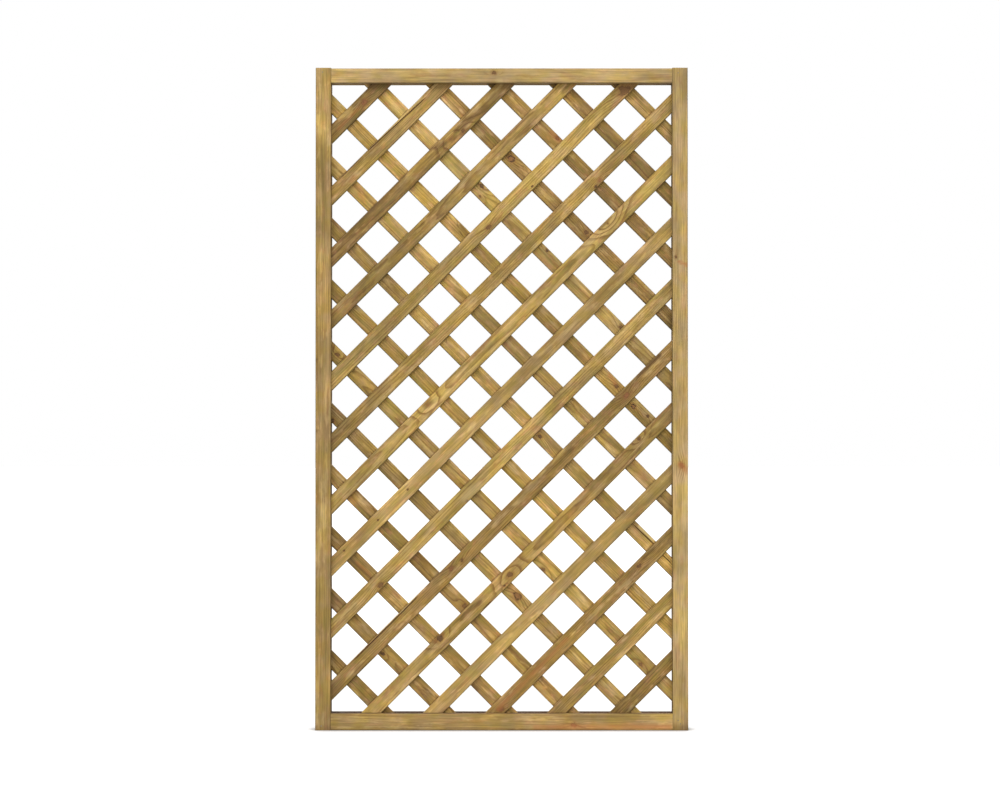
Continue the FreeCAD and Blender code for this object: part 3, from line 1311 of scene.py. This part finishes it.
# A bar's lip is painted shade in its groove and on its inner side.
BAR_LOOKS: dict[str, TimberLook] = {
    "left_stile": TimberLook(
        Tone.SAND, Cut.SLANT, (-0.05, 0.05), lip=0.75,
        stains=(
            Stain((-0.4967, 0.9953), (-0.4965, 0.99), 0.005, 0.7),
            Stain((-0.4962, 0.8037), (-0.496, 0.799), 0.005, 0.7),
            # Painted shade: darker towards the foot, where it meets the floor.
            Stain((-0.5, 0.0), (-0.458, 0.0), 0.024, 0.4),
        ),
    ),
    "right_stile": TimberLook(
        Tone.PALE, Cut.SLANT_OUT, (0.0, -0.15), lip=0.55,
        knots=(
            Knot(0.4674, 1.2691, 0.0028, 0.007),
            Knot(0.4825, 0.7092, 0.0055, 0.014, KnotKind.RED),
        ),
        stains=(
            Stain((0.475, 1.2566), (0.4985, 1.2471), 0.007, 0.75, StainKind.RED),
            Stain((0.479, 0.713), (0.497, 0.695), 0.013, 0.55, StainKind.RED),
            # Painted shade: darker towards the foot, where it meets the floor.
            Stain((0.458, 0.0), (0.5, 0.0), 0.026, 0.55),
        ),
    ),
    "top_rail": TimberLook(
        Tone.PALE, Cut.FLAT, lip=0.4,
        knots=(Knot(-0.0205, 1.7644, 0.0045, 0.009),),
        stains=(Stain((-0.0122, 1.7435), (-0.0022, 1.7435), 0.009, 0.5, StainKind.PALE),),
    ),
    "bottom_rail": TimberLook(
        Tone.SAND, Cut.SLANT, (-0.3, 0.25), lip=1.25,
        knots=(Knot(0.193, 0.0149, 0.0055, 0.012, KnotKind.RED),),
        stains=(
            Stain((0.09, 0.0085), (0.45, 0.0095), 0.012, 0.5, StainKind.RED),
            # Painted shade along the bottom edge, where it meets the floor.
            Stain((-0.458, 0.0), (0.458, 0.0), 0.0045, 0.6),
        ),
    ),
}

FRONT_LOOKS: tuple[TimberLook, ...] = (
    TimberLook(
        Tone.DEEP, Cut.SLANT, (0.05, -0.15),
        knots=(Knot(-0.3706, 1.6873, 0.0065, 0.012, KnotKind.RED),),
        stains=(Stain((-0.44, 1.615), (-0.385, 1.672), 0.007, 0.3, StainKind.RED),),
    ),
    TimberLook(
        Tone.HONEY, Cut.QUARTER, (-0.05, 0.2),
        seams=(
            Seam((-0.3676, 1.5499), (-0.2029, 1.7013), 0.0016, 0.36, 0.002),
            Seam((-0.44, 1.4768), (-0.37, 1.5468), 0.0006, 0.3, 0.0014),
        ),
        stains=(
            Stain((-0.33, 1.59), (-0.215, 1.699), 0.004, 0.55, StainKind.PALE),
            Stain((-0.405, 1.475), (-0.395, 1.485), 0.01, 0.4, StainKind.RED),
        ),
    ),
    TimberLook(
        Tone.BROWN, Cut.FLAT, (-0.15, 0.0),
        knots=(
            Knot(-0.1365, 1.5872, 0.003, 0.019, KnotKind.SWIRL),
            Knot(-0.1041, 1.6101, 0.004, 0.016),
        ),
        stains=(
            Stain((-0.125, 1.61), (-0.041, 1.675), 0.011, 0.5),
            Stain((-0.178, 1.564), (-0.152, 1.576), 0.01, 0.5),
        ),
    ),
    TimberLook(Tone.HONEY, Cut.FLAT_OUT, (-0.2, 0.2)),
    TimberLook(
        Tone.LIGHT, Cut.SLANT_OUT, (-0.15, 0.3),
        knots=(
            Knot(0.3315, 1.7201, 0.012, 0.024),
            Knot(-0.0354, 1.3497, 0.005, 0.012),
            Knot(0.0825, 1.4603, 0.0025, 0.006, KnotKind.DARK),
        ),
        stains=(Stain((0.3, 1.706), (0.3543, 1.7268), 0.012, 0.3),),
    ),
    TimberLook(
        Tone.HONEY, Cut.SLANT, (-0.15, 0.2),
        knots=(
            Knot(0.2649, 1.477, 0.0045, 0.012, KnotKind.RED),
            Knot(0.2535, 1.4599, 0.0032, 0.008, KnotKind.DARK),
        ),
    ),
    TimberLook(
        Tone.LIGHT, Cut.FLAT, (0.15, -0.1),
        knots=(
            Knot(0.2859, 1.36, 0.0025, 0.024, KnotKind.SWIRL),
            Knot(-0.1998, 0.8723, 0.0025, 0.02, KnotKind.SWIRL),
        ),
        stains=(
            Stain((0.265, 1.348), (0.278, 1.36), 0.008, 0.6),
            Stain((0.23, 1.304), (0.245, 1.318), 0.012, 0.4, StainKind.PALE),
        ),
    ),
    TimberLook(
        Tone.SAND, Cut.QUARTER_OUT, (0.17, 0.05),
        knots=(
            Knot(-0.2527, 0.6445, 0.0022, 0.006, KnotKind.DARK),
            Knot(-0.4236, 0.4811, 0.0022, 0.006, KnotKind.DARK),
            Knot(-0.3324, 0.5628, 0.0022, 0.006, KnotKind.DARK),
        ),
    ),
    TimberLook(
        Tone.LIGHT, Cut.SLANT, (0.1, 0.0),
        knots=(
            Knot(-0.3261, 0.3862, 0.0065, 0.013),
            Knot(-0.0937, 0.6143, 0.003, 0.008, KnotKind.DARK),
        ),
        stains=(Stain((-0.1, 0.62), (-0.06, 0.659), 0.016, 0.45, StainKind.PALE),),
    ),
    TimberLook(
        Tone.BROWN, Cut.SLANT_OUT, (-0.2, -0.05),
        knots=(
            Knot(0.3354, 0.8969, 0.006, 0.015, KnotKind.RED),
            Knot(-0.1353, 0.432, 0.0055, 0.014, KnotKind.RED),
            Knot(-0.1068, 0.4548, 0.0035, 0.01),
        ),
        seams=(Seam((-0.3999, 0.1831), (-0.2211, 0.3619), 0.0016, 0.34, 0.002),),
        stains=(
            Stain((0.366, 0.95), (0.426, 1.006), 0.008, 0.75),
            Stain((0.05, 0.62), (0.19, 0.756), 0.01, 0.35),
            Stain((-0.325, 0.265), (-0.235, 0.355), 0.005, 0.5, StainKind.PALE),
        ),
    ),
    TimberLook(
        Tone.HONEY, Cut.FLAT, (0.4, -0.25),
        knots=(
            Knot(0.3696, 0.781, 0.004, 0.014),
            Knot(-0.1665, 0.2446, 0.0075, 0.016, KnotKind.DARK),
            Knot(0.0213, 0.4151, 0.006, 0.022),
            Knot(0.0074, 0.3864, 0.0025, 0.007, KnotKind.DARK),
        ),
        seams=(Seam((-0.0552, 0.3185), (-0.0229, 0.3504), 0.0015, 0.0, 0.0016),),
        stains=(
            Stain((0.198, 0.602), (0.298, 0.702), 0.007, 0.4),
            Stain((-0.134, 0.283), (-0.06, 0.344), 0.008, 0.4),
            Stain((-0.205, 0.202), (-0.175, 0.233), 0.01, 0.35),
        ),
    ),
    TimberLook(Tone.SAND, Cut.FLAT_OUT, (0.12, 0.0)),
    TimberLook(
        Tone.BROWN, Cut.QUARTER, (-0.1, -0.15),
        knots=(
            Knot(0.3691, 0.4396, 0.005, 0.013),
            Knot(-0.0012, 0.0544, 0.006, 0.013, KnotKind.RED),
        ),
        stains=(
            Stain((0.38, 0.46), (0.405, 0.485), 0.011, 0.55),
            Stain((-0.01, 0.056), (0.175, 0.244), 0.009, 0.5, StainKind.RED),
        ),
    ),
    TimberLook(Tone.HONEY, Cut.SLANT_OUT, (-0.1, 0.1)),
    TimberLook(Tone.DEEP, Cut.SLANT, (-0.3, -0.05)),
)

BACK_LOOKS: tuple[TimberLook, ...] = (
    TimberLook(Tone.DEEP, Cut.SLANT, (-0.35, 0.05)),
    TimberLook(
        Tone.BROWN, Cut.FLAT, (-0.4, 0.25),
        knots=(Knot(-0.3198, 0.2024, 0.0045, 0.011, KnotKind.DARK),),
    ),
    TimberLook(
        Tone.BROWN, Cut.QUARTER, (-0.2, 0.35),
        stains=(
            Stain((-0.4025, 0.451), (-0.35, 0.403), 0.007, 0.6),
            Stain((-0.39, 0.449), (-0.356, 0.418), 0.007, 0.5, StainKind.RED),
            Stain((-0.0812, 0.1218), (-0.064, 0.104), 0.005, 0.8),
        ),
    ),
    TimberLook(
        Tone.BROWN, Cut.FLAT_OUT, (-0.1, 0.35),
        knots=(Knot(-0.1, 0.331, 0.0055, 0.013),),
    ),
    TimberLook(
        Tone.HONEY, Cut.SLANT_OUT, (-0.1, 0.1),
        knots=(
            Knot(0.0428, 0.3569, 0.0078, 0.015, KnotKind.RINGED),
            Knot(-0.4552, 0.8303, 0.004, 0.009, KnotKind.DARK),
        ),
    ),
    TimberLook(
        Tone.HONEY, Cut.FLAT, (-0.1, 0.2),
        knots=(
            Knot(0.112, 0.429, 0.0045, 0.012),
            Knot(0.3738, 0.174, 0.0045, 0.012),
            Knot(-0.4422, 1.0074, 0.0045, 0.014),
        ),
    ),
    TimberLook(Tone.GOLD, Cut.SLANT, (-0.3, 0.35)),
    TimberLook(
        Tone.HONEY, Cut.QUARTER_OUT, (-0.1, 0.4),
        knots=(Knot(0.1032, 0.7866, 0.0045, 0.015, KnotKind.DARK),),
        seams=(
            Seam((0.3512, 0.5534), (0.413, 0.494), 0.005, 0.0, 0.002),
            Seam((0.424, 0.476), (0.46, 0.443), 0.004, 0.0, 0.0018),
        ),
        stains=(Stain((0.37, 0.544), (0.408, 0.508), 0.007, 0.5, StainKind.PALE),),
    ),
    TimberLook(Tone.HONEY, Cut.FLAT_OUT, (0.25, -0.2)),
    TimberLook(
        Tone.GOLD, Cut.SLANT_OUT, (0.15, -0.15),
        knots=(
            Knot(0.3093, 0.9217, 0.0045, 0.012),
            Knot(0.355, 0.8684, 0.005, 0.014, KnotKind.RINGED),
            Knot(0.3931, 0.8418, 0.0032, 0.009, KnotKind.DARK),
        ),
        seams=(
            Seam((-0.1212, 1.3677), (-0.1155, 1.3448), 0.0006, 0.0, 0.0018),
            Seam((-0.1155, 1.3448), (-0.1021, 1.3219), 0.0006, 0.0, 0.0018),
        ),
        stains=(
            Stain((-0.11, 1.356), (-0.094, 1.333), 0.01, 0.55),
            Stain((0.2902, 0.9522), (0.306, 0.93), 0.008, 0.6, StainKind.RED),
        ),
    ),
    TimberLook(
        Tone.LIGHT, Cut.FLAT, (0.4, -0.35),
        knots=(
            Knot(-0.0535, 1.4618, 0.0052, 0.012, KnotKind.DARK),
            Knot(-0.0584, 1.434, 0.0028, 0.007),
            Knot(0.122, 1.2878, 0.003, 0.008, KnotKind.DARK),
            Knot(0.3212, 1.0806, 0.004, 0.011),
        ),
        seams=(Seam((0.1304, 1.2725), (0.1456, 1.2573), 0.001, 0.0, 0.0018),),
    ),
    TimberLook(
        Tone.BROWN, Cut.SLANT, (0.4, -0.4),
        knots=(
            Knot(0.0254, 1.5352, 0.0072, 0.014, KnotKind.RINGED),
            Knot(0.2273, 1.3374, 0.0045, 0.012),
        ),
        stains=(Stain((-0.005, 1.565), (0.013, 1.547), 0.01, 0.45),),
    ),
    TimberLook(
        Tone.BROWN, Cut.QUARTER, (0.0, -0.25),
        knots=(Knot(0.1512, 1.5906, 0.0045, 0.012, KnotKind.DARK),),
        stains=(Stain((0.135, 1.607), (0.165, 1.577), 0.012, 0.5, StainKind.RED),),
    ),
    TimberLook(Tone.DEEP, Cut.FLAT_OUT, (-0.1, -0.2)),
    TimberLook(Tone.HONEY, Cut.SLANT_OUT, (0.1, 0.25)),
)


def main() -> None:
    """Builds the panel and its studio in order."""
    logging.basicConfig(level=logging.INFO, format="%(name)s: %(message)s")
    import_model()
    stock = {tone: finish.material(f"softwood_{tone.value}") for tone, finish in FINISHES.items()}
    steel = SteelFinish().material("zinc_steel")

    frame = BarFrame()
    frame.build(stock, BAR_LOOKS)

    lattice = Lattice()
    lattice.build(stock, FRONT_LOOKS, front=True)
    lattice.build(stock, BACK_LOOKS, front=False)

    fixings = Fixings()
    fixings.build_pins(steel, -frame.depth / 2)
    fixings.build_staples(steel, lattice.slat_thickness, lattice.crossings())

    Studio().build()


if __name__ == "__main__":
    main()
